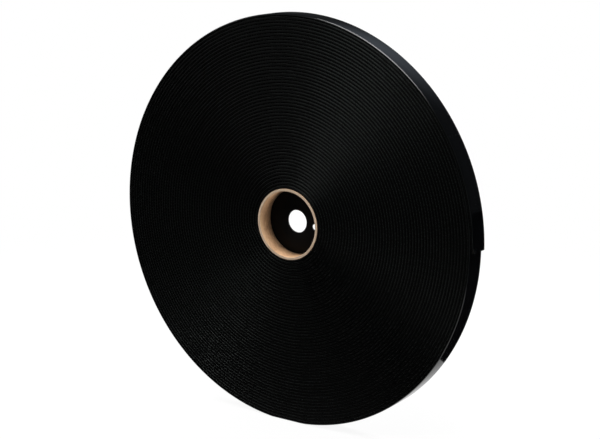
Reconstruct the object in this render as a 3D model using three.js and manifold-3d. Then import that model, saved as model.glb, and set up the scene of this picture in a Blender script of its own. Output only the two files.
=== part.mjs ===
// A roll of self-adhesive hook tape standing on its rim.
// Millimetres, +Z up. The roll's axis runs along Y and its front face looks to -Y.
// Angles are in degrees, anticlockwise from +X as seen from the front.

import * as THREE from 'three';
import { mergeVertices } from 'three/addons/utils/BufferGeometryUtils.js';
import Module from 'manifold-3d';

// Tape and liner
const TAPE_WIDTH = 12.7;
const TAPE_LENGTH = 22860; // 25 yards
const TURN_PITCH = 1.85; // one turn of tape and liner, as wound
const BASE_THICKNESS = 0.45; // woven base, without its hooks
const LINER_THICKNESS = 0.15;
const SELVAGE = 1.0; // margin of the base that carries no hooks

// Clearances
const TURN_GAP = 0.45; // between one turn and the next
const FILM_GAP = 0.1; // between the tape and its liner
const FIT_GAP = 0.3; // between pieces that sit on or in one another
const CUT_GAP = 0.4; // between ends that follow one another along the tape

// Paperboard core
const CORE_BORE = 38.1;
const CORE_WALL = 1.4;

// Plug pressed into the back of the core
const HUB_RECESS = 1.65; // back of the roll to the back of the web
const HUB_WEB = 1.2;
const HUB_WALL = 1.2;
const HUB_FILLET = 0.6;
const ARBOR_HOLE = 13.2;
const DRIVE_HOLE = 3.6;
const DRIVE_ANGLE = -9;

// Winding
const TAIL_END = 0; // angle of the cut end
const TAIL_FOLD = 22.5; // angle where the free tail starts
const LINER_FOLD = 10.5; // angle where the loose end of the liner starts
const INNER_LOOPS = 22;
const OUTER_LOOPS = 22;
const LOOP_STEPS = 24;
const RIM_STEPS = 48;
const FOOT_DEPTH = 0.5; // flat that the rim stands on

const TURN = 2 * Math.PI;
const DOWN = -Math.PI / 2;
const rad = THREE.MathUtils.degToRad;

// The whole length lies on a spiral, so length and pitch set the number of turns.
const coreRadius = CORE_BORE / 2 + CORE_WALL;
const firstMean = coreRadius + TURN_PITCH / 2;
const lastMean = Math.sqrt(firstMean ** 2 + (TURN_PITCH * TAPE_LENGTH) / Math.PI);
const turns = (lastMean - firstMean) / TURN_PITCH;

// Offsets of the layers, outwards from the inside of a turn
const stack = TURN_PITCH - TURN_GAP;
const tapeTop = stack - LINER_THICKNESS - FILM_GAP;
const hookTop = tapeTop - BASE_THICKNESS;
const half = TAPE_WIDTH / 2;

// Distance along the winding is its angle s, which is 0 at the tail's fold line.
// The winding runs clockwise as seen from the front.
const foldAngle = rad(TAIL_FOLD);
const tailEnd = rad(TAIL_FOLD - TAIL_END);
const linerFold = rad(TAIL_FOLD - LINER_FOLD);
const outerEnd = -TURN;
const outerStart = outerEnd - OUTER_LOOPS * TURN;
const innerStart = outerStart - INNER_LOOPS * TURN;
const tailInside = coreRadius + turns * TURN_PITCH + TURN_GAP;
const angleAt = (s) => foldAngle - s;
const insideAt = (s) => tailInside + (TURN_PITCH * (s - tailEnd)) / TURN;

// Height of the axis over the flat of the rim
const footTurn = foldAngle - DOWN - TURN;
const footRadius = insideAt(footTurn) + stack;
const footHalf = Math.acos(1 - FOOT_DEPTH / footRadius);
const axisHeight = footRadius - FOOT_DEPTH;

// Stations are points of the winding where its cross-section is placed.
// All turns have their corners at the same angles, so they nest evenly.
function stations(start, end, steps) {
  const step = TURN / steps;
  const first = foldAngle - DOWN + (steps === LOOP_STEPS ? step / 2 : 0);
  const corner = (k) => first + k * step;
  const onChord = (s) => {
    const k = Math.floor((s - first) / step);
    const near = insideAt(corner(k));
    const far = insideAt(corner(k + 1));
    const split = near * Math.sin(s - corner(k)) + far * Math.sin(corner(k + 1) - s);
    return (near * far * Math.sin(step)) / split;
  };
  const list = [{ angle: angleAt(start), inside: onChord(start) }];
  for (let k = Math.ceil((start - first) / step); corner(k) < end; k += 1) {
    const s = corner(k);
    if (s - start > step / 20 && end - s > step / 20) {
      list.push({ angle: angleAt(s), inside: insideAt(s), s });
    }
  }
  list.push({ angle: angleAt(end), inside: onChord(end) });
  return list;
}

// The outermost turn has a level flat in place of its lowest corner.
function rimStations(start, end) {
  const list = [];
  for (const station of stations(start, end, RIM_STEPS)) {
    if (station.s !== undefined && Math.abs(station.s - footTurn) < 1e-6) {
      list.push({ angle: DOWN + footHalf, inside: insideAt(footTurn) });
      list.push({ angle: DOWN - footHalf, inside: insideAt(footTurn) });
    } else {
      list.push(station);
    }
  }
  return list;
}

// Cross-sections as [offset from the inside of the turn, place along the axis]
const bandSection = (low, high) => [
  [low, -half],
  [high, -half],
  [high, half],
  [low, half],
];
const hookHalf = half - SELVAGE;
const tapeSection = [
  [0, -hookHalf],
  [hookTop, -hookHalf],
  [hookTop, -half],
  [tapeTop, -half],
  [tapeTop, half],
  [hookTop, half],
  [hookTop, hookHalf],
  [0, hookHalf],
];

// One unbroken strip through its stations, closed at both cut ends
function strip(list, section) {
  const count = section.length;
  const positions = [];
  for (const { angle, inside } of list) {
    for (const [offset, along] of section) {
      const radius = inside + offset;
      positions.push(radius * Math.cos(angle), along, radius * Math.sin(angle));
    }
  }
  const index = [];
  for (let i = 0; i + 1 < list.length; i += 1) {
    for (let j = 0; j < count; j += 1) {
      const a = i * count + j;
      const b = i * count + ((j + 1) % count);
      index.push(a, a + count, b, b, a + count, b + count);
    }
  }
  const outline = section.map(([offset, along]) => new THREE.Vector2(offset, along));
  const last = (list.length - 1) * count;
  for (const [a, b, c] of THREE.ShapeUtils.triangulateShape(outline, [])) {
    index.push(a, b, c, last + a, last + c, last + b);
  }
  const geometry = new THREE.BufferGeometry();
  geometry.setAttribute('position', new THREE.Float32BufferAttribute(positions, 3));
  geometry.setIndex(index);
  return geometry;
}

// Least distance from the outside of each turn to the inside of the turn over it
function leastGap(list) {
  const point = ({ angle, inside }, offset) =>
    new THREE.Vector3((inside + offset) * Math.cos(angle), 0, (inside + offset) * Math.sin(angle));
  const nearest = new THREE.Vector3();
  let least = Infinity;
  for (let i = 0; i + 1 < list.length; i += 1) {
    const middle = point(list[i], stack).lerp(point(list[i + 1], stack), 0.5);
    for (const from of [point(list[i], stack), middle]) {
      for (let k = i + LOOP_STEPS - 2; k <= i + LOOP_STEPS + 2 && k + 1 < list.length; k += 1) {
        const edge = new THREE.Line3(point(list[k], 0), point(list[k + 1], 0));
        edge.closestPointToPoint(from, true, nearest);
        least = Math.min(least, nearest.distanceTo(from));
      }
    }
  }
  return least;
}

const boardMaterial = new THREE.MeshStandardMaterial({ color: 0xb8926a, roughness: 0.9, metalness: 0 });
const plasticMaterial = new THREE.MeshStandardMaterial({ color: 0x141414, roughness: 0.55, metalness: 0 });
const tapeMaterial = new THREE.MeshStandardMaterial({ color: 0x1b1b1c, roughness: 0.85, metalness: 0 });
const linerMaterial = new THREE.MeshStandardMaterial({ color: 0x30343a, roughness: 0.25, metalness: 0 });

const part = new THREE.Group();
part.name = 'hook_tape_roll';

function add(name, geometry, material) {
  const mesh = new THREE.Mesh(geometry, material);
  mesh.name = name;
  mesh.position.z = axisHeight;
  part.add(mesh);
}

// Core: a plain tube as long as the tape is wide
const boreRadius = CORE_BORE / 2;
const coreProfile = [
  new THREE.Vector2(boreRadius, -half),
  new THREE.Vector2(coreRadius, -half),
  new THREE.Vector2(coreRadius, half),
  new THREE.Vector2(boreRadius, half),
  new THREE.Vector2(boreRadius, -half),
];
add('core_tube', new THREE.LatheGeometry(coreProfile, 72), boardMaterial);

// Plug: a web with a skirt to the back, an arbor hole and one drive hole
const { Manifold, Mesh: SolidMesh } = await loadSolids();

async function loadSolids() {
  const wasm = await Module();
  wasm.setup();
  return wasm;
}

function solid(geometry) {
  const bare = new THREE.BufferGeometry();
  bare.setAttribute('position', geometry.getAttribute('position'));
  bare.setIndex(geometry.getIndex());
  const welded = mergeVertices(bare, 1e-4);
  const vertProperties = new Float32Array(welded.getAttribute('position').array);
  const triVerts = new Uint32Array(welded.getIndex().array);
  return new Manifold(new SolidMesh({ numProp: 3, vertProperties, triVerts }));
}

function geometryOf(shape) {
  const { vertProperties, triVerts } = shape.getMesh();
  const geometry = new THREE.BufferGeometry();
  geometry.setAttribute('position', new THREE.BufferAttribute(new Float32Array(vertProperties), 3));
  geometry.setIndex(new THREE.BufferAttribute(new Uint32Array(triVerts), 1));
  return geometry;
}

const hubOuter = boreRadius - FIT_GAP;
const hubInner = hubOuter - HUB_WALL;
const arborRadius = ARBOR_HOLE / 2;
const webBack = half - HUB_RECESS;
const webFront = webBack - HUB_WEB;
const hubProfile = [
  new THREE.Vector2(arborRadius, webFront),
  new THREE.Vector2(hubOuter - HUB_FILLET, webFront),
  new THREE.Vector2(hubOuter - HUB_FILLET * 0.29, webFront + HUB_FILLET * 0.29),
  new THREE.Vector2(hubOuter, webFront + HUB_FILLET),
  new THREE.Vector2(hubOuter, half),
  new THREE.Vector2(hubInner, half),
  new THREE.Vector2(hubInner, webBack + HUB_FILLET),
  new THREE.Vector2(hubInner - HUB_FILLET, webBack),
  new THREE.Vector2(arborRadius, webBack),
  new THREE.Vector2(arborRadius, webFront),
];
const driveRadius = (arborRadius + hubInner) / 2;
const driveTool = new THREE.CylinderGeometry(DRIVE_HOLE / 2, DRIVE_HOLE / 2, 3 * HUB_WEB, 20);
driveTool.translate(
  driveRadius * Math.cos(rad(DRIVE_ANGLE)),
  (webFront + webBack) / 2,
  driveRadius * Math.sin(rad(DRIVE_ANGLE)),
);
const hub = solid(new THREE.LatheGeometry(hubProfile, 64)).subtract(solid(driveTool));
add('hub_disc', geometryOf(hub), plasticMaterial);

// First turns: a plain ring on the core, whose outside rises like the spiral it carries
const bed = stations(innerStart, innerStart + TURN, LOOP_STEPS);
const ring = new THREE.Shape();
bed.forEach(({ angle, inside }, i) => {
  const radius = inside - TURN_GAP;
  const x = radius * Math.cos(angle);
  const z = radius * Math.sin(angle);
  if (i === 0) {
    ring.moveTo(x, z);
  } else {
    ring.lineTo(x, z);
  }
});
ring.closePath();
ring.holes.push(new THREE.Path().absarc(0, 0, coreRadius + FIT_GAP, 0, TURN, false));
const firstTurns = new THREE.ExtrudeGeometry(ring, {
  depth: TAPE_WIDTH,
  bevelEnabled: false,
  curveSegments: 36,
});
firstTurns.translate(0, 0, -half);
firstTurns.rotateX(Math.PI / 2);
add('first_turns', firstTurns, tapeMaterial);

// Wound turns: every turn of the tape, in two unbroken strips of equal pitch
const cut = (s) => CUT_GAP / insideAt(s);
const innerList = stations(innerStart + cut(innerStart), outerStart, LOOP_STEPS);
const outerList = stations(outerStart + cut(outerStart), outerEnd, LOOP_STEPS);
add('inner_turns', strip(innerList, bandSection(0, stack)), tapeMaterial);
add('outer_turns', strip(outerList, bandSection(0, stack)), tapeMaterial);
console.log(`inner_turns: ${INNER_LOOPS} loops, least gap ${leastGap(innerList).toFixed(3)} mm`);
console.log(`outer_turns: ${OUTER_LOOPS} loops, least gap ${leastGap(outerList).toFixed(3)} mm`);

// Last turn: the hook tape and the liner over it
const lastList = rimStations(outerEnd + cut(outerEnd), 0);
const linerSection = bandSection(stack - LINER_THICKNESS, stack);
add('last_turn_tape', strip(lastList, tapeSection), tapeMaterial);
add('last_turn_liner', strip(lastList, linerSection), linerMaterial);

// Free tail, with the part of the liner that stays on it and the end that peels
const tailList = stations(cut(0), tailEnd, RIM_STEPS);
add('tail_tape', strip(tailList, tapeSection), tapeMaterial);
add('tail_liner', strip(stations(cut(0), linerFold, RIM_STEPS), linerSection), linerMaterial);
const flapList = stations(linerFold + cut(linerFold), tailEnd, RIM_STEPS);
add('liner_flap', strip(flapList, linerSection), linerMaterial);

// The origin is under the middle of the roll as it stands.
const box = new THREE.Box3().setFromObject(part);
part.position.x = -(box.min.x + box.max.x) / 2;
part.updateMatrixWorld(true);

console.log(`${turns.toFixed(2)} turns, axis at x ${part.position.x.toFixed(3)} z ${axisHeight.toFixed(3)}`);
const outside = (s) => insideAt(s) + stack;
for (const [name, s] of [['tail fold', 0], ['liner fold', linerFold]]) {
  const x = part.position.x + outside(s) * Math.cos(angleAt(s));
  const z = axisHeight + outside(s) * Math.sin(angleAt(s));
  console.log(`${name} at x ${x.toFixed(3)} z ${z.toFixed(3)}`);
}

export default part;
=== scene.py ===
import math
import bpy
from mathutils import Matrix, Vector


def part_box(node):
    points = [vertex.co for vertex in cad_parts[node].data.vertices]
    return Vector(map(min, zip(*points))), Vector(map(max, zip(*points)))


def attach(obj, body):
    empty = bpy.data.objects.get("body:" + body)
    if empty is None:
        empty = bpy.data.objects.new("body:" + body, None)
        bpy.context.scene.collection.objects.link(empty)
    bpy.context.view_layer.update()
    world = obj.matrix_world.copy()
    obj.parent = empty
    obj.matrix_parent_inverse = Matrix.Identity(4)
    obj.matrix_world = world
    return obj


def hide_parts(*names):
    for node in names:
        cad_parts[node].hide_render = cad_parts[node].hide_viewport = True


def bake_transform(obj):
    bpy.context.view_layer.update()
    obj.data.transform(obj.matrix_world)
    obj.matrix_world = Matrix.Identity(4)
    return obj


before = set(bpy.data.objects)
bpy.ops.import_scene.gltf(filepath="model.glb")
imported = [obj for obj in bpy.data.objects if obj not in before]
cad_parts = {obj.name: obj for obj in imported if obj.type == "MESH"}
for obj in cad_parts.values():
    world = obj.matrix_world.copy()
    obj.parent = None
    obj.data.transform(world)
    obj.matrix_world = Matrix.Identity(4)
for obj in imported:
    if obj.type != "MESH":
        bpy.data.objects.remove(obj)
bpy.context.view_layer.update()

# Units: lengths in metres, angles in radians, anticlockwise from the right as seen from the front
MM = 0.001
TURN = 2 * math.pi

# Sizes, as in the CAD model
TAPE_WIDTH = 12.7 * MM
TAPE_LENGTH = 22860 * MM
TURN_PITCH = 1.85 * MM
CORE_BORE = 38.1 * MM
CORE_WALL = 1.4 * MM
HUB_GAP = 0.3 * MM
HUB_RECESS = 1.65 * MM
HUB_WEB = 1.2 * MM
HUB_WALL = 1.2 * MM
ARBOR_HOLE = 13.2 * MM
DRIVE_HOLE = 3.6 * MM
DRIVE_ANGLE = math.radians(-9)
TAIL_FOLD = math.radians(22.5)
LINER_FOLD = math.radians(10.5)
FOOT_DEPTH = 0.5 * MM
HALF = TAPE_WIDTH / 2

# Heights of the layers over the turn below. The hook tips sink into the liner, so no light passes.
HOOK_TIP = -0.12 * MM
BASE_LOW = 0.72 * MM
BASE_HIGH = 1.5 * MM
GLUE_HIGH = 1.68 * MM
LINER_LOW = 1.69 * MM
LINER_HIGH = 1.84 * MM

# The axis of the roll, taken from the core
core_low, core_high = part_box("core_tube")
AXIS = Vector(((core_low[0] + core_high[0]) / 2, 0, (core_low[2] + core_high[2]) / 2))

# The winding: the whole turns that the length gives, and a part turn from the start angle to the end
CORE_RADIUS = CORE_BORE / 2 + CORE_WALL
FIRST_MEAN = CORE_RADIUS + TURN_PITCH / 2
LAST_MEAN = math.sqrt(FIRST_MEAN ** 2 + TURN_PITCH * TAPE_LENGTH / math.pi)
OUTER_BED = CORE_RADIUS + LAST_MEAN - FIRST_MEAN
START_ANGLE = math.radians(190)
TURNS = math.floor((LAST_MEAN - FIRST_MEAN) / TURN_PITCH) + START_ANGLE / TURN
WOUND_PITCH = (OUTER_BED - CORE_RADIUS) / TURNS

# Places along the winding: s is the angle wound past the tail's fold. The tape ends at the far right.
TAIL_END = TAIL_FOLD
WIND_START = TAIL_END - TURNS * TURN
LAST_TURN = -TURN
FLAP_FOLD = TAIL_FOLD - LINER_FOLD

# How far before its fold a free strip starts
TAIL_LEAD = 0.14
FLAP_LEAD = 0.03
TAIL_ROOT = -TAIL_LEAD
FLAP_ROOT = FLAP_FOLD - FLAP_LEAD

# The first turns step up where the tape starts, and settle to an even spiral
SETTLED_TURNS = 12
STEP_START = 0.96

# The outermost turns are pressed flat under the roll, where the cosine to straight down is above this
FOOT_COSINE = 0.9
PRESSED_TURNS = 7

# Lengths of the straight stretches that the strips are drawn with
WOUND_STEP = 4.8 * MM
LAST_TURN_STEP = 2.5 * MM
TAIL_STEP = 0.8 * MM
FLAP_STEP = 0.15 * MM
LEAST_STEPS = 90
LEAST_ANGLE = 1e-4

# Faces that meet at less than these angles are shaded as one smooth surface
TAPE_SMOOTH = math.radians(62)
FILM_SMOOTH = math.radians(30)
HOOK_SMOOTH = math.radians(75)
ROUNDED_SMOOTH = math.radians(35)

# Corners closer together than this are merged
MERGE_REACH = 1e-6


def ease(t):
    t = min(max(t, 0.0), 1.0)
    return t * t * (3 - 2 * t)


def bed_radius(s):
    """Radius of what the tape lies on. The first turns hug the core and step over the tape's start."""
    wound = (s - WIND_START) / TURN
    whole = math.floor(wound)
    part = wound - whole
    settled = min(whole / SETTLED_TURNS, 1.0)
    step = ease((part - STEP_START) / (1 - STEP_START))
    return CORE_RADIUS + WOUND_PITCH * (whole + settled * part + (1 - settled) * step)


def pressed(radius, angle):
    """The outer turns are pressed flat where the roll stands."""
    down = math.cos(angle + math.pi / 2)
    if down < FOOT_COSINE:
        return radius
    depth = max(AXIS.z + FOOT_DEPTH - (radius + TURN_PITCH), 0.0)
    push = FOOT_DEPTH * max(0.0, 1 - depth / (PRESSED_TURNS * TURN_PITCH))
    return min(radius, (radius - push) / down)


def wind_point(s, height=0.0):
    angle = TAIL_FOLD - s
    radius = pressed(bed_radius(s), angle) + height
    return radius * math.cos(angle), radius * math.sin(angle)


def place_at(s, height):
    x, z = wind_point(s, height)
    return Vector((AXIS.x + x, 0, AXIS.z + z))


def outwards(place):
    """The way from the axis to a place."""
    arm = place - AXIS
    arm.y = 0
    return arm.normalized()


# Modelling helpers

def deselect():
    if bpy.context.object and bpy.context.object.mode != "OBJECT":
        bpy.ops.object.mode_set(mode="OBJECT")
    bpy.ops.object.select_all(action="DESELECT")


def pick(piece):
    deselect()
    piece.select_set(True)
    bpy.context.view_layer.objects.active = piece


def apply_place():
    """Put the place of what is selected into its mesh."""
    bpy.ops.object.transform_apply(location=True, rotation=True, scale=True)


def apply_modifier(piece, modifier):
    pick(piece)
    bpy.ops.object.modifier_apply(modifier=modifier.name)


def smooth(piece, angle):
    pick(piece)
    bpy.ops.object.shade_smooth_by_angle(angle=angle)


def line_of(name, points, closed=False):
    """A flat line of straight stretches, drawn with the roll's axis as its Z."""
    curve = bpy.data.curves.new(name, "CURVE")
    curve.dimensions = "2D"
    spline = curve.splines.new("POLY")
    spline.points.add(len(points) - 1)
    for spot, (x, y) in zip(spline.points, points):
        spot.co = (x, y, 0, 1)
    spline.use_cyclic_u = closed
    line = bpy.data.objects.new(name, curve)
    bpy.context.collection.objects.link(line)
    return line


def wind_line(name, start, end, step):
    """The spiral from one place along the winding to another."""
    points = []
    s = start
    while s < end - LEAST_ANGLE:
        points.append(wind_point(s))
        s += TURN / max(LEAST_STEPS, math.ceil(TURN * bed_radius(s) / step))
    points.append(wind_point(end))
    return line_of(name, points)


def settle_mesh(piece):
    """Merge the seams and turn the faces outwards."""
    pick(piece)
    bpy.ops.object.mode_set(mode="EDIT")
    bpy.ops.mesh.select_all(action="SELECT")
    bpy.ops.mesh.remove_doubles(threshold=MERGE_REACH)
    bpy.ops.mesh.normals_make_consistent(inside=False)
    bpy.ops.object.mode_set(mode="OBJECT")


def stand_up(piece):
    """From the drawing plane to the roll's own place."""
    pick(piece)
    piece.rotation_euler = (math.pi / 2, 0, 0)
    piece.location = AXIS
    apply_place()


def sweep(name, path, section):
    """A strip along a path. The section is a list of (height over the path, place along the axis)."""
    profile = line_of(name + "_section", [(-height, along) for height, along in section], closed=True)
    path.data.bevel_mode = "OBJECT"
    path.data.bevel_object = profile
    path.data.use_fill_caps = True
    pick(path)
    bpy.ops.object.convert(target="MESH")
    strip = bpy.context.object
    strip.name = name
    bpy.data.objects.remove(profile)
    settle_mesh(strip)
    return strip


def wound_strip(name, start, end, step, section, angle):
    strip = sweep(name, wind_line(name, start, end, step), section)
    stand_up(strip)
    smooth(strip, angle)
    return strip


def turned(name, sides, profile):
    """A closed ring turned about the axis from a list of (radius, height) corners."""
    radius, height = profile[0]
    deselect()
    bpy.ops.mesh.primitive_circle_add(vertices=sides, radius=radius, location=(0, 0, height))
    ring = bpy.context.object
    ring.name = name
    apply_place()
    bpy.ops.object.mode_set(mode="EDIT")
    bpy.ops.mesh.select_all(action="SELECT")
    for next_radius, next_height in profile[1:] + profile[:1]:
        bpy.ops.mesh.extrude_edges_indiv()
        grow = next_radius / radius
        bpy.ops.transform.resize(value=(grow, grow, 1), center_override=(0, 0, height))
        bpy.ops.transform.translate(value=(0, 0, next_height - height))
        radius, height = next_radius, next_height
    bpy.ops.object.mode_set(mode="OBJECT")
    settle_mesh(ring)
    return ring


def drill(piece, sides, diameter, depth, place):
    """Cut a round hole along the axis through a piece that isn't stood up yet."""
    deselect()
    bpy.ops.mesh.primitive_cylinder_add(vertices=sides, radius=diameter / 2, depth=depth, location=place)
    bit = bpy.context.object
    hole = piece.modifiers.new("hole", "BOOLEAN")
    hole.object = bit
    hole.operation = "DIFFERENCE"
    hole.solver = "EXACT"
    apply_modifier(piece, hole)
    bpy.data.objects.remove(bit)


def round_edges(piece, width, segments, sharper_than):
    rounding = piece.modifiers.new("rounding", "BEVEL")
    rounding.width = width
    rounding.segments = segments
    rounding.limit_method = "ANGLE"
    rounding.angle_limit = math.radians(sharper_than)
    apply_modifier(piece, rounding)
    smooth(piece, ROUNDED_SMOOTH)


# Material helpers

def new_material(name):
    material = bpy.data.materials.new(name)
    material.use_nodes = True
    tree = material.node_tree
    return material, tree, tree.nodes["Principled BSDF"]


def maths(tree, operation, *values):
    made = tree.nodes.new("ShaderNodeMath")
    made.operation = operation
    for socket, value in zip(made.inputs, values):
        if isinstance(value, (int, float)):
            socket.default_value = value
        else:
            tree.links.new(value, socket)
    return made.outputs[0]


def parts_of(tree, vector):
    split = tree.nodes.new("ShaderNodeSeparateXYZ")
    tree.links.new(vector, split.inputs[0])
    return split.outputs[0], split.outputs[1], split.outputs[2]


def plain_place(tree):
    """The place on the roll, in millimetres from the middle of its axis."""
    place = tree.nodes.new("ShaderNodeTexCoord")
    centred = tree.nodes.new("ShaderNodeMapping")
    centred.inputs["Location"].default_value = (-AXIS.x / MM, 0, -AXIS.z / MM)
    centred.inputs["Scale"].default_value = (1 / MM, 1 / MM, 1 / MM)
    tree.links.new(place.outputs["Object"], centred.inputs["Vector"])
    return centred.outputs[0]


def rolled_place(tree):
    """The same place as its radius, its way round and its way across the tape."""
    x, across, z = parts_of(tree, plain_place(tree))
    radius = maths(tree, "SQRT", maths(tree, "MULTIPLY_ADD", x, x, maths(tree, "MULTIPLY", z, z)))
    round_way = maths(tree, "MULTIPLY", maths(tree, "ARCTAN2", z, x), radius)
    rolled = tree.nodes.new("ShaderNodeCombineXYZ")
    for socket, value in zip(rolled.inputs, (radius, round_way, across)):
        tree.links.new(value, socket)
    return rolled.outputs[0]


def noise(tree, vector, scale, detail, stretch=(1, 1, 1)):
    spread = tree.nodes.new("ShaderNodeMapping")
    spread.inputs["Scale"].default_value = stretch
    tree.links.new(vector, spread.inputs["Vector"])
    made = tree.nodes.new("ShaderNodeTexNoise")
    made.inputs["Scale"].default_value = scale
    made.inputs["Detail"].default_value = detail
    tree.links.new(spread.outputs[0], made.inputs["Vector"])
    return made.outputs["Fac"]


def ranged(tree, value, before=(0.0, 1.0), after=(0.0, 1.0), shape="LINEAR"):
    """A value moved from one range to another, and held at its ends."""
    made = tree.nodes.new("ShaderNodeMapRange")
    made.interpolation_type = shape
    made.inputs["From Min"].default_value, made.inputs["From Max"].default_value = before
    made.inputs["To Min"].default_value, made.inputs["To Max"].default_value = after
    tree.links.new(value, made.inputs["Value"])
    return made.outputs[0]


def tones(tree, factor, shader, *stops):
    """Colours spread over the factor, each stop a place from 0 to 1 and its colour."""
    ramp = tree.nodes.new("ShaderNodeValToRGB")
    marks = ramp.color_ramp.elements
    while len(marks) < len(stops):
        marks.new(0.5)
    for mark, (place, colour) in zip(marks, stops):
        mark.position = place
        mark.color = (*colour, 1)
    tree.links.new(factor, ramp.inputs[0])
    tree.links.new(ramp.outputs["Color"], shader.inputs["Base Color"])


def two_tones(tree, factor, shader, dark, light):
    tones(tree, factor, shader, (0.3, dark), (0.7, light))


def rough_between(tree, factor, shader, low, high):
    tree.links.new(ranged(tree, factor, after=(low, high)), shader.inputs["Roughness"])


def bump(tree, height, shader, strength, distance):
    made = tree.nodes.new("ShaderNodeBump")
    made.inputs["Strength"].default_value = strength
    made.inputs["Distance"].default_value = distance
    tree.links.new(height, made.inputs["Height"])
    tree.links.new(made.outputs[0], shader.inputs["Normal"])


def mixed(tree, factor, first, second):
    mix = tree.nodes.new("ShaderNodeMixShader")
    for socket, value in zip(mix.inputs, (factor, first, second)):
        tree.links.new(value, socket)
    return mix.outputs[0]


# Materials of the tape and its liner

# Threads of the weave, in millimetres, and how far they stand out of the fuzz
WEFT_SPACING = 0.62
WARP_SPACING = 0.55
THREAD_SHARE = 0.25


def woven_black():
    """Base of the tape: fine black nylon weave."""
    material, tree, shader = new_material("woven_black")
    rolled = rolled_place(tree)
    round_way, across = parts_of(tree, rolled)[1:]
    weft = maths(tree, "SINE", maths(tree, "MULTIPLY", round_way, TURN / WEFT_SPACING))
    warp = maths(tree, "SINE", maths(tree, "MULTIPLY", across, TURN / WARP_SPACING))
    fuzz = noise(tree, rolled, scale=1.4, detail=5.0)
    weave = maths(tree, "MULTIPLY_ADD", maths(tree, "MULTIPLY", weft, warp), THREAD_SHARE, fuzz)
    two_tones(tree, fuzz, shader, dark=(0.0004, 0.00044, 0.00043), light=(0.0011, 0.0013, 0.00125))
    rough_between(tree, fuzz, shader, low=0.36, high=0.5)
    bump(tree, weave, shader, strength=0.15, distance=0.08 * MM)
    shader.inputs["Specular IOR Level"].default_value = 0.03
    return material


def hook_nylon():
    """Stiff black thread of the hooks."""
    material, tree, shader = new_material("hook_nylon")
    streak = noise(tree, plain_place(tree), scale=3.0, detail=2.0)
    two_tones(tree, streak, shader, dark=(0.0006, 0.0006, 0.0006), light=(0.0017, 0.0018, 0.0018))
    rough_between(tree, streak, shader, low=0.5, high=0.65)
    shader.inputs["Specular IOR Level"].default_value = 0.18
    return material


def liner_film():
    """Smooth release film over dark adhesive, with faint lines along its run."""
    material, tree, shader = new_material("liner_film")
    streak = noise(tree, rolled_place(tree), scale=1.0, detail=4.0, stretch=(0.3, 0.02, 1.2))
    cloud = noise(tree, plain_place(tree), scale=0.05, detail=3.0)
    both = maths(tree, "MULTIPLY_ADD", streak, 0.5, maths(tree, "MULTIPLY", cloud, 0.5))
    two_tones(tree, both, shader, dark=(0.0006, 0.0007, 0.0009), light=(0.0014, 0.0016, 0.002))
    rough_between(tree, both, shader, low=0.06, high=0.12)
    bump(tree, both, shader, strength=0.15, distance=0.1 * MM)
    return material


def rubbed_liner():
    """The same film inside the roll, rubbed dull by the hooks that lie on it."""
    material, tree, shader = new_material("rubbed_liner")
    scuff = noise(tree, rolled_place(tree), scale=0.9, detail=4.0, stretch=(1, 0.3, 1))
    two_tones(tree, scuff, shader, dark=(0.0005, 0.0006, 0.0007), light=(0.0012, 0.0014, 0.0016))
    rough_between(tree, scuff, shader, low=0.45, high=0.6)
    shader.inputs["Specular IOR Level"].default_value = 0.04
    return material


def liner_edge():
    """Cut edge of the film, a little lighter and greener than its face."""
    material, tree, shader = new_material("liner_edge")
    cut = noise(tree, rolled_place(tree), scale=0.8, detail=3.0, stretch=(1, 0.4, 1))
    two_tones(tree, cut, shader, dark=(0.0017, 0.0019, 0.00185), light=(0.0056, 0.0064, 0.0062))
    rough_between(tree, cut, shader, low=0.42, high=0.55)
    shader.inputs["Specular IOR Level"].default_value = 0.5
    shader.inputs["Specular Tint"].default_value = (0.88, 1.0, 0.94, 1)
    return material


def adhesive_coat():
    """Sticky back of the tape, bare where the liner is peeled off."""
    material, tree, shader = new_material("adhesive_coat")
    ripple = noise(tree, rolled_place(tree), scale=0.7, detail=4.0, stretch=(1, 0.5, 1))
    two_tones(tree, ripple, shader, dark=(0.006, 0.0058, 0.0052), light=(0.014, 0.0135, 0.012))
    rough_between(tree, ripple, shader, low=0.16, high=0.34)
    bump(tree, ripple, shader, strength=0.4, distance=0.12 * MM)
    return material


# Materials of the core and the plug

# What makes up the board's tone, and the painted shade that darkens the wall of the core down to the
# plug
FIBRE_SHARE = 0.45
BLOTCH_SHARE = 0.3
PLY_SHARE = 0.25
PLUG_DEPTH = TAPE_WIDTH - HUB_RECESS - HUB_WEB
PLUG_PAINTED_SHADE = 0.5
PAINTED_SHADE_CURVE = 1.4
PAINTED_SHADE_LEFT = 0.2


def painted_shade_to_plug(tree, plain):
    """How much painted shade lies at a depth in the core: none at the front, all of it at the plug."""
    across = parts_of(tree, plain)[1]
    depth = maths(tree, "DIVIDE", maths(tree, "ADD", across, HALF / MM), PLUG_DEPTH / MM)
    return maths(tree, "POWER", maths(tree, "MAXIMUM", depth, 0.0), PAINTED_SHADE_CURVE)


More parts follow.
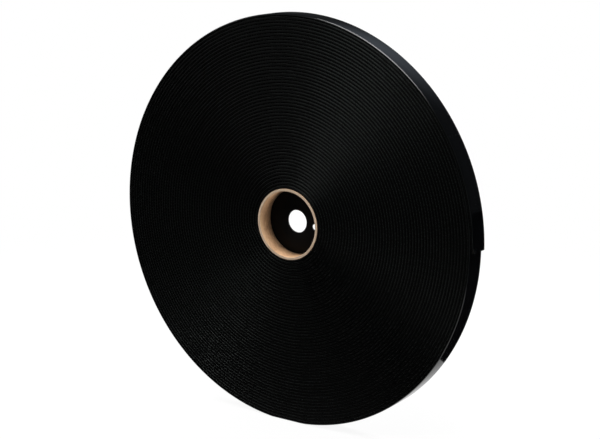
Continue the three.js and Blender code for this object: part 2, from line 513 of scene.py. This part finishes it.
def board_tone(name, dark, light, shaded_to_plug):
    """Grey-brown paperboard: short fibres, blotches and the lines of its plies."""
    material, tree, shader = new_material(name)
    plain = plain_place(tree)
    rolled = rolled_place(tree)
    fibre = noise(tree, rolled, scale=1.6, detail=6.0, stretch=(1.0, 0.35, 1.0))
    blotch = noise(tree, plain, scale=0.12, detail=3.0)
    ply = noise(tree, rolled, scale=1.0, detail=1.0, stretch=(4.0, 0.05, 0.1))
    tone = maths(tree, "MULTIPLY_ADD", fibre, FIBRE_SHARE, maths(tree, "MULTIPLY", blotch, BLOTCH_SHARE))
    tone = maths(tree, "MULTIPLY_ADD", ply, PLY_SHARE, tone)
    # Painted shade: the wall of the core darkens towards the plug, deep in the bore where little light
    # reaches
    if shaded_to_plug:
        tone = maths(tree, "MULTIPLY_ADD", painted_shade_to_plug(tree, plain), -PLUG_PAINTED_SHADE, tone)
    shaded_darkest = [PAINTED_SHADE_LEFT * value for value in dark]
    tones(tree, tone, shader, (0.0, shaded_darkest), (0.35, dark), (0.65, light))
    rough_between(tree, fibre, shader, low=0.8, high=0.95)
    bump(tree, maths(tree, "ADD", fibre, ply), shader, strength=0.5, distance=0.2 * MM)
    shader.inputs["Specular IOR Level"].default_value = 0.2
    return material


def plug_plastic():
    """Black moulded plastic with a fine grain."""
    material, tree, shader = new_material("plug_plastic")
    plain = plain_place(tree)
    grain = noise(tree, plain, scale=2.5, detail=3.0)
    cloud = noise(tree, plain, scale=0.15, detail=2.0)
    two_tones(tree, cloud, shader, dark=(0.0008, 0.0008, 0.0008), light=(0.0019, 0.0018, 0.0017))
    rough_between(tree, grain, shader, low=0.42, high=0.6)
    bump(tree, grain, shader, strength=0.25, distance=0.08 * MM)
    shader.inputs["Specular IOR Level"].default_value = 0.08
    return material


WOVEN = woven_black()
NYLON = hook_nylon()
FILM = liner_film()
RUBBED_FILM = rubbed_liner()
FILM_EDGE = liner_edge()
ADHESIVE = adhesive_coat()
# The board of the core carries painted shade towards the plug; its cut ends do not
BOARD = board_tone("board_face", (0.44, 0.265, 0.145), (0.685, 0.455, 0.275), shaded_to_plug=True)
BOARD_END = board_tone("board_cut_end", (0.248, 0.18, 0.122), (0.4, 0.305, 0.225), shaded_to_plug=False)
PLASTIC = plug_plastic()


# How much a face may look along the radius and still be an edge, and how much makes it an outside
EDGE_TILT = 0.8
DRAPED_TILT = 0.5
OUTSIDE_TILT = 0.7


def dress(piece, material, slot, *replaced):
    piece.data.materials.clear()
    piece.data.materials.append(material)
    if replaced:
        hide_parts(*replaced)


def dress_edges(piece, material, tilt):
    """Faces that look neither to the axis nor away from it show the cut edge."""
    piece.data.materials.append(material)
    for face in piece.data.polygons:
        if abs(face.normal.dot(outwards(face.center))) < tilt:
            face.material_index = 1


def dress_outside(piece, material):
    """Faces that look away from the axis carry the adhesive."""
    piece.data.materials.append(material)
    for face in piece.data.polygons:
        if face.normal.dot(outwards(face.center)) > OUTSIDE_TILT:
            face.material_index = 1


# Paperboard core and plastic plug

CORE_SIDES = 144
CORE_ROUNDING = 0.15 * MM
PLUG_SIDES = 128
PLUG_ROUNDING = 0.2 * MM
DRIVE_SIDES = 48
DRILL_DEPTH = 4 * HUB_WEB


def make_core():
    bore = CORE_BORE / 2
    corners = [(bore, -HALF), (CORE_RADIUS, -HALF), (CORE_RADIUS, HALF), (bore, HALF)]
    core = turned("core_board", CORE_SIDES, corners)
    round_edges(core, CORE_ROUNDING, segments=2, sharper_than=40)
    stand_up(core)
    dress(core, BOARD, "core_board", "core_tube")
    dress_edges(core, BOARD_END, EDGE_TILT)
    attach(core, "roll")


def make_plug():
    """A web across the core with a wall behind it, the arbor hole and the drive hole."""
    outer = CORE_BORE / 2 - HUB_GAP
    inner = outer - HUB_WALL
    arbor = ARBOR_HOLE / 2
    back = -(HALF - HUB_RECESS)
    front = back + HUB_WEB
    wall = [(outer, front), (outer, -HALF), (inner, -HALF), (inner, back)]
    plug = turned("hub_plug", PLUG_SIDES, [(arbor, front)] + wall + [(arbor, back)])
    reach = (arbor + inner) / 2
    middle = (front + back) / 2
    place = (reach * math.cos(DRIVE_ANGLE), reach * math.sin(DRIVE_ANGLE), middle)
    drill(plug, DRIVE_SIDES, DRIVE_HOLE, DRILL_DEPTH, place)
    round_edges(plug, PLUG_ROUNDING, segments=3, sharper_than=50)
    stand_up(plug)
    dress(plug, PLASTIC, "hub_plastic", "hub_disc")
    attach(plug, "roll")


# Sections of the tape: lists of (height over the turn below, place along the axis)

# The bound edge of the base: share of its thickness, and inset in millimetres
EDGE_ROUND = [(0.0, 0.07), (0.05, 0.03), (0.3, 0.02), (0.55, 0.1), (0.78, 0.25), (1.0, 0.46)]
GLUE_INSET = 0.72 * MM
MAT_HALF = 4.9 * MM
MAT_TAPER = 0.1 * MM
FIRST_MAT_HALF = HALF - 0.3 * MM
FIRST_MAT_HIGH = 0.95 * BASE_LOW


def bound_edge(side):
    """Rounded edge of the base, and the adhesive over it."""
    thick = BASE_HIGH - BASE_LOW
    edge = [(BASE_LOW + share * thick, inset * MM) for share, inset in EDGE_ROUND]
    edge.append((GLUE_HIGH, GLUE_INSET))
    return [(height, side * (HALF - inset)) for height, inset in edge]


def mat_of(half, taper, high):
    """The hooks seen edge on, as one mat from the base down to their tips."""
    return [(high, half), (HOOK_TIP, half - taper), (HOOK_TIP, taper - half), (high, -half)]


BARE_SECTION = bound_edge(-1) + bound_edge(1)[::-1]
MAT_SECTION = BARE_SECTION + mat_of(MAT_HALF, MAT_TAPER, BASE_LOW)
FIRST_MAT_SECTION = mat_of(FIRST_MAT_HALF, 0.0, FIRST_MAT_HIGH)

# Sections of the liner. Inside the roll it beds into the adhesive.
LINER_MIDDLE = (LINER_LOW + LINER_HIGH) / 2
LINER_BED = GLUE_HIGH - 0.01 * MM
LINER_HALF = HALF - 0.36 * MM
LINER_FLAT = LINER_HALF - 0.06 * MM
LINER_UNDERCUT = LINER_HALF - 0.12 * MM
LINER_SIDE = [(LINER_BED, LINER_UNDERCUT), (LINER_MIDDLE, LINER_HALF), (LINER_HIGH, LINER_FLAT)]
LINER_SECTION = [(height, -across) for height, across in LINER_SIDE] + LINER_SIDE[::-1]

# Outside the last turn nothing holds the liner flat: from each edge inwards, how far it droops
SHOULDER = [(0.15 * MM, 0.34 * MM), (0.24 * MM, 0.2 * MM),
            (0.38 * MM, 0.09 * MM), (0.55 * MM, 0.02 * MM)]
SHOULDER_WIDTH = 0.75 * MM
FLAP_PARTS = 12


def draped_section(parts=1):
    """Section of the outermost liner, with its middle divided into parts."""
    flat = HALF - SHOULDER_WIDTH
    near = [(LINER_HIGH - drop, inset - HALF) for inset, drop in SHOULDER]
    middle = [(LINER_HIGH, flat * (2 * part / parts - 1)) for part in range(parts + 1)]
    far = [(height, -across) for height, across in near[::-1]]
    outside = near + middle + far
    inside = [(height - LINER_HIGH + LINER_LOW, across) for height, across in outside[::-1]]
    return outside + inside


# Wound turns and last turn

def make_tape(name, start, end, step, section, *replaced):
    tape = wound_strip(name, start, end, step, section, TAPE_SMOOTH)
    dress(tape, WOVEN, "hook_tape", *replaced)
    return tape


def make_film(name, start, end, step, section, *replaced):
    """Glossy liner that lies free on the outside of the roll."""
    film = wound_strip(name, start, end, step, section, FILM_SMOOTH)
    dress(film, FILM, "liner_film", *replaced)
    dress_edges(film, FILM_EDGE, DRAPED_TILT)
    return film


def make_wound_turns():
    replaced = ("first_turns", "inner_turns", "outer_turns")
    tape = make_tape("wound_tape", WIND_START, LAST_TURN, WOUND_STEP, MAT_SECTION, *replaced)
    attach(tape, "roll")
    film = wound_strip("wound_liner", WIND_START, LAST_TURN, WOUND_STEP, LINER_SECTION, FILM_SMOOTH)
    dress(film, RUBBED_FILM, "liner_film")
    dress_edges(film, FILM_EDGE, EDGE_TILT)
    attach(film, "roll")


def make_first_hooks():
    """The mat of hooks of the first turn fills the edge next to the core."""
    end = WIND_START + TURN
    mat = wound_strip("first_turn_hooks", WIND_START, end, WOUND_STEP, FIRST_MAT_SECTION, FILM_SMOOTH)
    dress(mat, NYLON, "hook_tape")
    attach(mat, "roll")


def make_last_turn():
    tape = make_tape("last_tape", LAST_TURN, TAIL_ROOT, LAST_TURN_STEP, MAT_SECTION, "last_turn_tape")
    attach(tape, "roll")
    section = draped_section()
    film = make_film("last_liner", LAST_TURN, TAIL_ROOT, LAST_TURN_STEP, section, "last_turn_liner")
    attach(film, "roll")


# Hooks

# One hook: the radius of its thread, and its bend as (place along the tape, height) in millimetres
HOOK_THREAD = 0.19 * MM
HOOK_BEND = [(0.0, 0.82), (0.03, 0.52), (0.2, 0.3), (0.48, 0.28), (0.66, 0.44)]

# A pair leans both ways: where its hooks stand, in shares of their spacing
FORWARD_PLACE = 0.3
BACKWARD_PLACE = 1.7

# The edge rows show between the turns. Each is made as two pieces, split after some turns.
EDGE_SPACING = 1.8 * MM
EDGE_THREAD_SIDES = 3
EDGE_ROW = 5.95 * MM
SPLIT_TURNS = 34
ROW_SPLIT = WIND_START + SPLIT_TURNS * TURN

# The field of hooks under the tail
FIELD_SPACING = 1.5 * MM
FIELD_THREAD_SIDES = 4
FIELD_ROWS = 11


def make_hook(name, sides, along, way):
    """One bent hook on the underside of the base. It leans forward (way 1) or back (way -1)."""
    bend = [(along + way * x * MM, y * MM) for x, y in HOOK_BEND]
    corners = [TURN * (corner + 0.5) / sides for corner in range(sides)]
    thread = [(HOOK_THREAD * math.cos(corner), HOOK_THREAD * math.sin(corner)) for corner in corners]
    return sweep(name, line_of(name, bend), thread)


def make_hook_pair(name, sides, spacing, across):
    first = make_hook(name, sides, FORWARD_PLACE * spacing, 1)
    second = make_hook(name + "_back", sides, BACKWARD_PLACE * spacing, -1)
    pick(first)
    second.select_set(True)
    bpy.ops.object.join()
    first.location.z = across
    apply_place()
    return first


def repeat(piece, count, offset):
    row = piece.modifiers.new("row", "ARRAY")
    row.use_relative_offset = False
    row.use_constant_offset = True
    row.constant_offset_displace = offset
    row.count = count
    apply_modifier(piece, row)


def repeat_along(piece, path, spacing):
    """Fill a path with hook pairs, still laid out straight."""
    length = path.data.splines[0].calc_length()
    repeat(piece, int(length / (2 * spacing)), (2 * spacing, 0, 0))


def lay_along(piece, path):
    bend = piece.modifiers.new("winding", "CURVE")
    bend.object = path
    bend.deform_axis = "POS_X"
    apply_modifier(piece, bend)
    bpy.data.objects.remove(path)
    stand_up(piece)
    smooth(piece, HOOK_SMOOTH)
    dress(piece, NYLON, "hook_tape")


def make_edge_rows():
    """The rows of hooks that show between the turns, at both faces of the roll."""
    for stretch, start, end in (("inner", WIND_START, ROW_SPLIT), ("outer", ROW_SPLIT, TAIL_ROOT)):
        for face, across in (("front", EDGE_ROW), ("back", -EDGE_ROW)):
            name = f"{stretch}_hooks_{face}"
            path = wind_line(name + "_way", start, end, WOUND_STEP)
            row = make_hook_pair(name, EDGE_THREAD_SIDES, EDGE_SPACING, across)
            repeat_along(row, path, EDGE_SPACING)
            lay_along(row, path)
            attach(row, "roll")


# Free tail and loose liner

CORNER_LIFT = 1.3 * MM
CORNER_REACH = 0.2 * MM
CORNER_SPREAD = 3.0 * MM


def nudge(piece, spot, reach, move, spread):
    """Move what lies within reach of a spot, and its surroundings with it, fading over the spread."""
    pick(piece)
    bpy.ops.object.mode_set(mode="EDIT")
    bpy.ops.mesh.select_all(action="DESELECT")
    bpy.ops.object.mode_set(mode="OBJECT")
    for vertex in piece.data.vertices:
        vertex.select = (vertex.co - spot).length < reach
    bpy.ops.object.mode_set(mode="EDIT")
    bpy.ops.transform.translate(value=move, use_proportional_edit=True,
                                proportional_edit_falloff="SMOOTH", proportional_size=spread)
    bpy.ops.object.mode_set(mode="OBJECT")


def lift_corner(film):
    """The front corner of the loose liner has come up a little."""
    inset, drop = SHOULDER[0]
    corner = place_at(TAIL_END, LINER_HIGH - drop) - Vector((0, HALF - inset, 0))
    nudge(film, corner, CORNER_REACH, outwards(corner) * CORNER_LIFT, CORNER_SPREAD)


def bend_with_tail(piece):
    """Put the piece's place into its mesh."""
    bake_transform(piece)


def make_tail():
    tape = make_tape("tail_strip", TAIL_ROOT, TAIL_END, TAIL_STEP, BARE_SECTION, "tail_tape")
    dress_outside(tape, ADHESIVE)
    bend_with_tail(tape)
    film = make_film("tail_film", TAIL_ROOT, FLAP_ROOT, TAIL_STEP, draped_section(), "tail_liner")
    bend_with_tail(film)


def make_flap():
    section = draped_section(FLAP_PARTS)
    flap = make_film("flap_film", FLAP_ROOT, TAIL_END, FLAP_STEP, section, "liner_flap")
    lift_corner(flap)
    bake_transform(flap)


def make_tail_hooks():
    """The field of hooks under the free tail."""
    path = wind_line("tail_hooks_way", TAIL_ROOT, TAIL_END, TAIL_STEP)
    field = make_hook_pair("tail_hooks", FIELD_THREAD_SIDES, FIELD_SPACING, -EDGE_ROW)
    repeat_along(field, path, FIELD_SPACING)
    repeat(field, FIELD_ROWS, (0, 0, 2 * EDGE_ROW / (FIELD_ROWS - 1)))
    lay_along(field, path)
    bend_with_tail(field)


make_core()
make_plug()
make_wound_turns()
make_first_hooks()
make_last_turn()
make_edge_rows()
make_tail()
make_flap()
make_tail_hooks()


# Floor: painted reflection. In the gloss of the film the floor shows dark, with a glowing white patch
# shaped as a sheet under the roll and one shaped as a card beside it

FLOOR_SIZE = 6
FLOOR_TONE = (0.85, 0.85, 0.85, 1)
FLOOR_ROUGHNESS = 0.9
PAINTED_DARK_REFLECTION = (0.004, 0.004, 0.0045, 1)

# The painted sheet of reflection ends just in front of the roll and along a slanted line at the right
PAINTED_SHEET_REACH = 0.1766
PAINTED_SHEET_SLANT = 1.1
PAINTED_SHEET_FRONT = 0.018
PAINTED_SHEET_GLOW = 0.5

# The painted card of reflection lies in front of the sheet, to the right
PAINTED_CARD_PLACE = 0.19
PAINTED_CARD_WIDTH = 0.12
PAINTED_CARD_GLOW = 0.5

# How white the floor looks close to the roll, and from where to where it gets all white
WHITE_BY_ROLL = 0.92
SHADOW_REACH = 0.1
WHITE_REACH = 0.5


def painted_reflection_patches(tree, place):
    """Where the painted reflections of the sheet and the card lie, and how brightly they glow."""
    x, y = parts_of(tree, place)[:2]
    slanted = maths(tree, "MULTIPLY_ADD", y, PAINTED_SHEET_SLANT, x)
    inside = maths(tree, "LESS_THAN", slanted, PAINTED_SHEET_REACH)
    sheet = maths(tree, "MULTIPLY", inside, maths(tree, "GREATER_THAN", y, -PAINTED_SHEET_FRONT))
    beside = maths(tree, "COMPARE", x, PAINTED_CARD_PLACE, PAINTED_CARD_WIDTH / 2)
    card = maths(tree, "MULTIPLY", beside, maths(tree, "LESS_THAN", y, -PAINTED_SHEET_FRONT))
    painted_glow_fade = ranged(tree, slanted, before=(PAINTED_SHEET_REACH, PAINTED_SHEET_REACH / 2), after=(PAINTED_SHEET_GLOW, 1.0))
    return maths(tree, "ADD", sheet, card), maths(tree, "MULTIPLY_ADD", card, PAINTED_CARD_GLOW, painted_glow_fade)


def painted_reflection_floor(tree, place):
    """The floor as the film's gloss shows it: a painted reflection, dark but for the glowing patches."""
    painted_reflection_there, painted_reflection_strength = painted_reflection_patches(tree, place)
    dark = tree.nodes.new("ShaderNodeBsdfDiffuse")
    dark.inputs["Color"].default_value = PAINTED_DARK_REFLECTION
    # The patches glow though they are no lamp: painted reflection, seen only by glossy rays
    white = tree.nodes.new("ShaderNodeEmission")
    tree.links.new(painted_reflection_strength, white.inputs["Strength"])
    return mixed(tree, painted_reflection_there, dark.outputs[0], white.outputs[0])


def seen_floor(tree, place, shader, camera_ray):
    """The floor as the camera sees it: white, with a little of the roll's shadow close to it."""
    length = tree.nodes.new("ShaderNodeVectorMath")
    length.operation = "LENGTH"
    tree.links.new(place, length.inputs[0])
    away = length.outputs["Value"]
    reach = (SHADOW_REACH, WHITE_REACH)
    whiter = ranged(tree, away, before=reach, after=(WHITE_BY_ROLL, 1.0), shape="SMOOTHSTEP")
    white = tree.nodes.new("ShaderNodeEmission")
    share = maths(tree, "MULTIPLY", camera_ray, whiter)
    return mixed(tree, share, shader.outputs[0], white.outputs[0])


def pale_ground():
    material, tree, shader = new_material("pale_ground")
    shader.inputs["Base Color"].default_value = FLOOR_TONE
    shader.inputs["Roughness"].default_value = FLOOR_ROUGHNESS
    path = tree.nodes.new("ShaderNodeLightPath")
    place = tree.nodes.new("ShaderNodeTexCoord").outputs["Object"]
    seen = seen_floor(tree, place, shader, path.outputs["Is Camera Ray"])
    # Glossy rays see the painted reflection instead of the lit floor
    both = mixed(tree, path.outputs["Is Glossy Ray"], seen, painted_reflection_floor(tree, place))
    tree.links.new(both, tree.nodes["Material Output"].inputs["Surface"])
    return material


def make_floor():
    deselect()
    bpy.ops.mesh.primitive_plane_add(size=FLOOR_SIZE, location=(0, 0, 0))
    floor = bpy.context.object
    floor.name = "ground"
    floor.data.materials.append(pale_ground())


# Light: a dim room, white where the camera looks past the floor, and five softboxes

ROOM_TONE = (0.9, 0.95, 1.0, 1)
ROOM_LIGHT = 0.03
WHITE = (1, 1, 1)
COOL_WHITE = (0.75, 0.85, 1.0)


def make_world():
    world = bpy.data.worlds.new("studio")
    bpy.context.scene.world = world
    world.use_nodes = True
    tree = world.node_tree
    room = tree.nodes["Background"]
    room.inputs["Color"].default_value = ROOM_TONE
    room.inputs["Strength"].default_value = ROOM_LIGHT
    white = tree.nodes.new("ShaderNodeBackground")
    white.inputs["Color"].default_value = (*WHITE, 1)
    path = tree.nodes.new("ShaderNodeLightPath")
    both = mixed(tree, path.outputs["Is Camera Ray"], room.outputs[0], white.outputs[0])
    tree.links.new(both, tree.nodes["World Output"].inputs["Surface"])


def make_lamp(name, place, size, power, colour=WHITE):
    deselect()
    bpy.ops.object.light_add(type="AREA", location=place)
    lamp = bpy.context.object
    lamp.name = name
    lamp.data.shape = "RECTANGLE"
    lamp.data.size, lamp.data.size_y = size
    lamp.data.energy = power
    lamp.data.color = colour
    lamp.rotation_euler = (AXIS - Vector(place)).to_track_quat("-Z", "Y").to_euler()
    return lamp


def soften_edges(lamp, ways):
    """Let a softbox fade from its middle to its edges, along its width (1 way) or its height too (2)."""
    lamp.data.use_nodes = True
    tree = lamp.data.node_tree
    spot = tree.nodes.new("ShaderNodeNewGeometry")
    middle = 0.5
    fade = 1.0
    for way in parts_of(tree, spot.outputs["Parametric"])[:ways]:
        off_middle = maths(tree, "ABSOLUTE", maths(tree, "SUBTRACT", way, middle))
        ramp = ranged(tree, off_middle, before=(middle, 0.0), shape="SMOOTHSTEP")
        fade = maths(tree, "MULTIPLY", ramp, fade)
    tree.links.new(fade, tree.nodes["Emission"].inputs["Strength"])


def make_lamps():
    """Softboxes with places and sizes in metres, and power in watts."""
    top = make_lamp("top_softbox", place=(0.15, -0.46, 1.24), size=(1.7, 0.7), power=38)
    soften_edges(top, ways=1)
    make_lamp("left_softbox", place=(-1.0, -0.5, 0.66), size=(1.1, 0.8), power=7.6)
    make_lamp("rear_left_softbox", place=(-1.0, 0.45, 0.5), size=(0.7, 0.7), power=6)
    make_lamp("rear_top_softbox", place=(0.1, 0.5, 1.24), size=(1.2, 0.5), power=16)
    back = make_lamp("back_softbox", place=(-0.08, 0.9, 0.85), size=(1.1, 0.8), power=1.1,
                     colour=COOL_WHITE)
    soften_edges(back, ways=2)


# Camera: from the right of the front and a little above, with the photo's framing

VIEW_AZIMUTH = math.radians(35.2205)
VIEW_HEIGHT = math.radians(13.021)
VIEW_DISTANCE = 0.85374
SENSOR_WIDTH = 36
LENS = 90.22
SHIFT_X = 0.01083
SHIFT_Y = 0.005


def make_camera():
    level = math.cos(VIEW_HEIGHT)
    x = math.sin(VIEW_AZIMUTH) * level
    y = -math.cos(VIEW_AZIMUTH) * level
    to_camera = Vector((x, y, math.sin(VIEW_HEIGHT)))
    view = bpy.data.cameras.new("photo_view")
    camera = bpy.data.objects.new("photo_view", view)
    bpy.context.collection.objects.link(camera)
    camera.location = AXIS + to_camera * VIEW_DISTANCE
    camera.rotation_euler = (-to_camera).to_track_quat("-Z", "Y").to_euler()
    view.sensor_width = SENSOR_WIDTH
    view.lens = LENS
    view.shift_x = SHIFT_X
    view.shift_y = SHIFT_Y
    bpy.context.scene.camera = camera


make_floor()
make_world()
make_lamps()
make_camera()
bpy.context.scene.view_settings.view_transform = "Standard"
